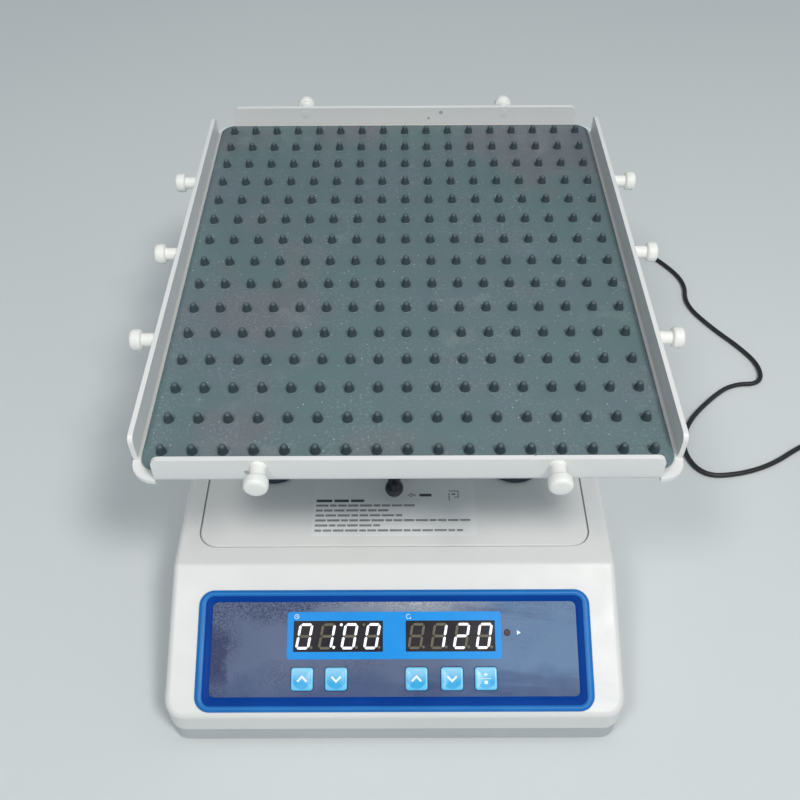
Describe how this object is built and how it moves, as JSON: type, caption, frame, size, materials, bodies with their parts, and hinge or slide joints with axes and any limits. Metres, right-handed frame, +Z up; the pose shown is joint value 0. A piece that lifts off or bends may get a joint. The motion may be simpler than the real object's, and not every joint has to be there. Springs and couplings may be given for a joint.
{
  "type": "waving rotator",
  "caption": "Bench shaker with a dimpled mat on a tray that nutates on a tilting drive head, over a sloped control base with displays, keys and a coiled adapter lead.",
  "frame": {"origin": "middle of the instrument's outline, on the bench under its feet", "axes": "+X to the operator's right, +Y from the control panel to the back, +Z up"},
  "size_m": [0.5019, 0.483, 0.1954],
  "materials": {
    "white_enamel": "satin",
    "pan_enamel": "satin",
    "tray_enamel": "satin",
    "mat_rubber": "matte",
    "peg_plastic": "gloss",
    "foot_rubber": "matte",
    "zinc_steel": "satin",
    "bright_steel": "polished",
    "cast_alloy": "satin",
    "label_sheet": "satin",
    "bezel_plastic": "gloss",
    "film_plastic": "satin",
    "patch_ink": "gloss",
    "window_black": "gloss",
    "segment_lit": "matte",
    "segment_dark": "matte",
    "lamp_plastic": "gloss",
    "key_plastic": "satin",
    "knob_plastic": "gloss",
    "board_green": "satin",
    "motor_black": "satin",
    "belt_rubber": "matte",
    "fitting_black": "matte",
    "cord_rubber": "satin"
  },
  "bodies": {
    "base": {"upper_housing": "white_enamel", "top_cover": "white_enamel", "bottom_pan": "pan_enamel", "rubber_feet": "foot_rubber", "base_screws": "zinc_steel", "instruction_label": "label_sheet", "isolators": "foot_rubber", "isolator_bolts": "bright_steel", "drive_plate": "zinc_steel", "bearing_housing": "cast_alloy", "shaft_bearings": "bright_steel", "motor_bracket": "zinc_steel", "motor": "motor_black", "drive_belt": "belt_rubber", "guide_post": "zinc_steel", "lock_guide": "cast_alloy", "bezel_frame": "bezel_plastic", "panel_film": "film_plastic", "display_patch": "patch_ink", "backing_plate": "cast_alloy", "displays": "window_black", "lit_segments": "segment_lit", "dark_segments": "segment_dark", "run_lamp": "lamp_plastic", "control_board": "board_green", "tact_switches": "fitting_black", "dc_socket": "fitting_black", "switch_housing": "fitting_black", "supply_board": "board_green", "dc_plug": "fitting_black", "power_cord": "cord_rubber", "cord_coil": "cord_rubber", "plug_adapter": "fitting_black"},
    "motor_rotor": {"motor_pulley": "cast_alloy"},
    "drive": {"drive_shaft": "bright_steel", "drive_pulley": "cast_alloy", "drive_head": "cast_alloy", "lock_ring": "zinc_steel", "tilt_pin": "bright_steel"},
    "tilt_head": {"tilt_block": "cast_alloy", "bearing_inner": "bright_steel", "clamp_washer": "zinc_steel"},
    "clamp_screw": {"centre_screw": "zinc_steel"},
    "platform": {"bearing_outer": "bright_steel", "carrier": "zinc_steel", "tray": "tray_enamel", "carrier_screws": "zinc_steel", "band_pegs": "peg_plastic", "peg_screws": "zinc_steel", "guide_arm": "zinc_steel", "guide_pin": "bright_steel"},
    "mat": {"dimple_mat": "mat_rubber"},
    "lock": {"lock_rod": "bright_steel", "lock_knob": "knob_plastic"},
    "rocker": {"power_rocker": "fitting_black"},
    "key_time_up": {"key_time_up": "key_plastic"},
    "key_time_down": {"key_time_down": "key_plastic"},
    "key_speed_up": {"key_speed_up": "key_plastic"},
    "key_speed_down": {"key_speed_down": "key_plastic"},
    "key_run_stop": {"key_run_stop": "key_plastic"}
  },
  "joints": [
    {"name": "drive_spin", "type": "hinge", "parent": "base", "child": "drive", "pos_m": [0, 0.01918, 0.09], "axis": [0, 0, 1], "continuous": true},
    {"name": "motor_spin", "type": "hinge", "parent": "base", "child": "motor_rotor", "pos_m": [-0.072, 0.01918, 0.023], "axis": [0, 0, 1], "continuous": true},
    {"name": "tilt_adjust", "type": "hinge", "parent": "drive", "child": "tilt_head", "pos_m": [0, 0.01918, 0.14], "axis": [1, 0, 0], "range_deg": [0, 9]},
    {"name": "platform_bearing", "type": "hinge", "parent": "tilt_head", "child": "platform", "pos_m": [0, 0.01918, 0.1645], "axis": [0, 0, 1], "continuous": true},
    {"name": "centre_screw_turn", "type": "hinge", "parent": "tilt_head", "child": "clamp_screw", "pos_m": [0, 0.01918, 0.165], "axis": [0, 0, 1], "range_deg": [0, 360]},
    {"name": "mat_lift", "type": "slide", "parent": "platform", "child": "mat", "axis": [0, 0, 1], "range_m": [0, 0.06]},
    {"name": "lock_slide", "type": "slide", "parent": "base", "child": "lock", "axis": [0, 1, 0], "range_m": [0, 0.01]},
    {"name": "power_switch", "type": "hinge", "parent": "base", "child": "rocker", "pos_m": [0.012, 0.15668, 0.04], "axis": [1, 0, 0], "range_deg": [-16, 0]},
    {"name": "press_time_up", "type": "slide", "parent": "base", "child": "key_time_up", "axis": [0, 0.4487, -0.8937], "range_m": [0, 0.0004], "stiffness_N_per_m": 1500, "springref_m": -0.0002},
    {"name": "press_time_down", "type": "slide", "parent": "base", "child": "key_time_down", "axis": [0, 0.4487, -0.8937], "range_m": [0, 0.0004], "stiffness_N_per_m": 1500, "springref_m": -0.0002},
    {"name": "press_speed_up", "type": "slide", "parent": "base", "child": "key_speed_up", "axis": [0, 0.4487, -0.8937], "range_m": [0, 0.0004], "stiffness_N_per_m": 1500, "springref_m": -0.0002},
    {"name": "press_speed_down", "type": "slide", "parent": "base", "child": "key_speed_down", "axis": [0, 0.4487, -0.8937], "range_m": [0, 0.0004], "stiffness_N_per_m": 1500, "springref_m": -0.0002},
    {"name": "press_run_stop", "type": "slide", "parent": "base", "child": "key_run_stop", "axis": [0, 0.4487, -0.8937], "range_m": [0, 0.0004], "stiffness_N_per_m": 1500, "springref_m": -0.0002}
  ],
  "couplings": [
    {"joint": "motor_spin", "follows": "drive_spin", "ratio": 4},
    {"joint": "platform_bearing", "follows": "drive_spin", "ratio": -1}
  ]
}
